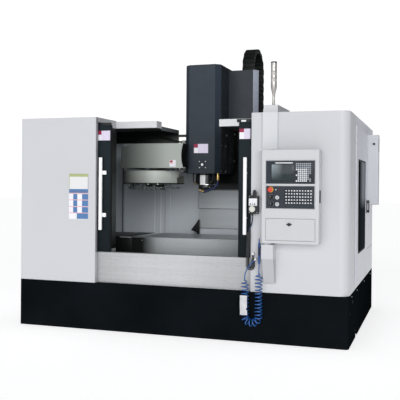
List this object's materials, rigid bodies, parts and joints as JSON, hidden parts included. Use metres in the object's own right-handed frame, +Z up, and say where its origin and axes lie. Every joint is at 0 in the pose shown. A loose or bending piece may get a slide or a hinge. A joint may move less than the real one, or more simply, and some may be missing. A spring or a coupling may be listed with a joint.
{
  "type": "vertical cnc milling machine",
  "caption": "Vertical machining centre: enclosed column mill with cross table, spindle head, umbrella tool magazine, sliding doors and swinging control panel.",
  "frame": {"origin": "on the floor, under the middle of the machine's overall width and depth", "axes": "+Z up, +X to the operator's right along the table, +Y from the operator's side to the column"},
  "size_m": [3.529, 2.601, 3.0949],
  "materials": {
    "black_plastic": "matte",
    "blue_plastic": "gloss",
    "brass": "satin",
    "cabinet_grey": "light textured paint",
    "cabinet_white": "light textured paint",
    "cast_paint": "painted grey casting",
    "chrome": "polished",
    "cover_plate": "brushed",
    "glass": "clear",
    "head_slate": "satin paint",
    "lamp_clear": "clear",
    "lining_grey": "satin paint",
    "magazine_paint": "satin paint",
    "motor_black": "satin",
    "painted_dark": "textured dark paint",
    "panel_dark": "satin",
    "red_plastic": "gloss",
    "rubber_black": "matte",
    "side_box": "satin paint",
    "slate": "satin paint",
    "stainless": "brushed",
    "steel": "machined",
    "white_coat": "gloss",
    "white_plastic": "gloss"
  },
  "bodies": {
    "machine": {"base_skirt": "painted_dark", "levelling_feet": "steel", "bed_casting": "cast_paint", "column_casting": "cast_paint", "axis_motors": "motor_black", "left_front_cover": "cabinet_white", "right_front_cover": "cabinet_white", "outer_panels": "cabinet_grey", "roof_covers": "cabinet_grey", "front_sill": "stainless", "chamber_lining": "lining_grey", "panel_post": "cabinet_white", "tower_lamp": "lamp_clear", "side_junction_box": "cabinet_white", "electrical_cabinet": "cabinet_grey", "magazine_bracket": "cast_paint", "magazine_cover": "magazine_paint", "magazine_conduit": "rubber_black", "cable_chain": "black_plastic", "wall_fittings": "black_plastic", "pendant_body": "black_plastic", "pendant_cord": "rubber_black", "air_gun_body": "blue_plastic", "air_gun_hose": "blue_plastic"},
    "saddle": {"saddle_casting": "cast_paint"},
    "table": {"work_table": "steel", "table_apron": "stainless"},
    "head": {"headstock_casting": "painted_dark", "head_cover": "head_slate", "head_side_box": "side_box", "spindle_motor": "motor_black", "spindle_housing": "steel", "coolant_nozzle": "brass", "z_cover_upper": "cover_plate"},
    "z_cover": {"z_cover_middle": "cover_plate"},
    "spindle": {"spindle_nose": "chrome"},
    "z_screw": {"z_ball_screw": "steel"},
    "magazine": {"magazine_drum": "magazine_paint"},
    "carousel": {"magazine_carousel": "black_plastic", "tool_holders": "chrome"},
    "left_door": {"left_door_frame": "slate", "left_door_window": "glass", "left_door_handle": "white_coat"},
    "right_door": {"right_door_frame": "slate", "right_door_window": "glass", "right_door_handle": "white_coat"},
    "side_door": {"side_door": "cabinet_grey", "side_window": "glass"},
    "control_box": {"control_box": "cabinet_white", "screen_unit": "panel_dark", "operator_panel": "panel_dark"},
    "panel_flap": {"panel_flap": "cabinet_white"},
    "flap_latch": {"flap_latch": "black_plastic"},
    "estop": {"estop_button": "red_plastic"},
    "feed_knob": {"feed_knob": "black_plastic"},
    "speed_knob": {"speed_knob": "black_plastic"},
    "start_button": {"start_button": "white_plastic"},
    "stop_button": {"stop_button": "white_plastic"},
    "pendant_dial": {"pendant_dial": "white_plastic"},
    "gun_trigger": {"air_gun_trigger": "blue_plastic"}
  },
  "joints": [
    {"name": "saddle_y", "type": "slide", "parent": "machine", "child": "saddle", "axis": [0, 1, 0], "range_m": [-0.25, 0.25]},
    {"name": "table_x", "type": "slide", "parent": "saddle", "child": "table", "axis": [1, 0, 0], "range_m": [-0.42, 0.42]},
    {"name": "head_z", "type": "slide", "parent": "machine", "child": "head", "axis": [0, 0, 1], "range_m": [-0.42, 0.18], "deforming": ["cable_chain"]},
    {"name": "z_cover_slide", "type": "slide", "parent": "machine", "child": "z_cover", "axis": [0, 0, 1], "range_m": [-0.21, 0.09]},
    {"name": "spindle_spin", "type": "hinge", "parent": "head", "child": "spindle", "pos_m": [-0.0865, 0.0155, 1.455], "axis": [0, 0, 1], "continuous": true},
    {"name": "z_screw_spin", "type": "hinge", "parent": "machine", "child": "z_screw", "pos_m": [-0.0865, 0.7355, 1], "axis": [0, 0, 1], "continuous": true},
    {"name": "magazine_slide", "type": "slide", "parent": "machine", "child": "magazine", "axis": [1, 0, 0], "range_m": [0, 0.37]},
    {"name": "carousel_spin", "type": "hinge", "parent": "magazine", "child": "carousel", "pos_m": [-0.7265, 0.0155, 1.45], "axis": [0, 0, 1], "continuous": true},
    {"name": "left_door_slide", "type": "slide", "parent": "machine", "child": "left_door", "axis": [1, 0, 0], "range_m": [0, 0.675]},
    {"name": "right_door_slide", "type": "slide", "parent": "machine", "child": "right_door", "axis": [-1, 0, 0], "range_m": [0, 0.671]},
    {"name": "side_door_swing", "type": "hinge", "parent": "machine", "child": "side_door", "pos_m": [1.642, -0.6255, 1.3], "axis": [0, 0, 1], "range_deg": [-95, 0]},
    {"name": "control_box_swing", "type": "hinge", "parent": "machine", "child": "control_box", "pos_m": [0.9005, -1.1895, 1], "axis": [0, 0, -1], "range_deg": [0, 90]},
    {"name": "panel_flap_swing", "type": "hinge", "parent": "control_box", "child": "panel_flap", "pos_m": [1.128, -1.2675, 0.982], "axis": [1, 0, 0], "range_deg": [0, 90]},
    {"name": "flap_latch_turn", "type": "hinge", "parent": "panel_flap", "child": "flap_latch", "pos_m": [1.1205, -1.2645, 1.126], "axis": [0, 1, 0], "range_deg": [0, 90]},
    {"name": "estop_push", "type": "slide", "parent": "control_box", "child": "estop", "axis": [0, 1, 0], "range_m": [0, 0.006], "stiffness_N_per_m": 1200},
    {"name": "feed_knob_turn", "type": "hinge", "parent": "control_box", "child": "feed_knob", "pos_m": [0.9485, -1.2745, 1.37], "axis": [0, 1, 0], "range_deg": [-150, 150]},
    {"name": "speed_knob_turn", "type": "hinge", "parent": "control_box", "child": "speed_knob", "pos_m": [0.9515, -1.2745, 1.309], "axis": [0, 1, 0], "range_deg": [-150, 150]},
    {"name": "start_button_push", "type": "slide", "parent": "control_box", "child": "start_button", "axis": [0, 1, 0], "range_m": [0, 0.003], "stiffness_N_per_m": 800},
    {"name": "stop_button_push", "type": "slide", "parent": "control_box", "child": "stop_button", "axis": [0, 1, 0], "range_m": [0, 0.003], "stiffness_N_per_m": 800},
    {"name": "pendant_dial_turn", "type": "hinge", "parent": "machine", "child": "pendant_dial", "pos_m": [0.7525, -1.1745, 1.257], "axis": [0, 1, 0], "continuous": true},
    {"name": "gun_trigger_pull", "type": "hinge", "parent": "machine", "child": "gun_trigger", "pos_m": [0.822, -1.1785, 0.903], "axis": [1, 0, 0], "range_deg": [-4.5, 0], "stiffness_Nm_per_rad": 3}
  ],
  "couplings": [
    {"joint": "z_cover_slide", "follows": "head_z", "ratio": 0.5},
    {"joint": "z_screw_spin", "follows": "head_z", "rad_per_m": 392.7}
  ]
}
